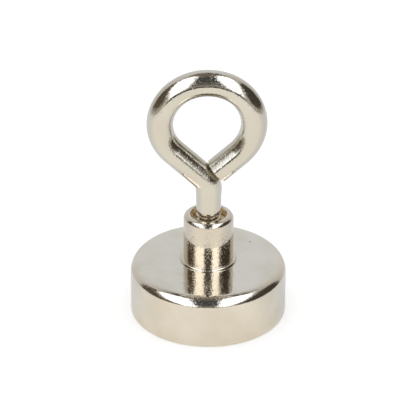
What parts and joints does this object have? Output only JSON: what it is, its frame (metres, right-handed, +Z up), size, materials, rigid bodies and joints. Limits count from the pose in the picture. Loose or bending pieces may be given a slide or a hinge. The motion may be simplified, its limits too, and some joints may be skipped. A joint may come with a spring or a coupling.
{
  "type": "pot magnet",
  "caption": "Round nickel-plated steel pot magnet with a riveted bush on top and a bent wire eye screwed into it, for hanging things from a steel surface.",
  "frame": {"origin": "centre of the magnetic face, where the rim of the pot rests", "axes": "+Z up through the bush and the eye, X across the eye from its closed side to its sheared end, Y through the eye"},
  "size_m": [0.025, 0.025, 0.0423],
  "materials": {
    "nickel_plate": "bright polished nickel plating",
    "magnet_plate": "satin nickel plating",
    "epoxy": "cast potting resin"
  },
  "bodies": {
    "root": {"steel_pot": "nickel_plate", "threaded_bush": "nickel_plate", "magnet_disc": "magnet_plate", "resin_ring": "epoxy", "eye_bolt": "nickel_plate"}
  },
  "joints": []
}
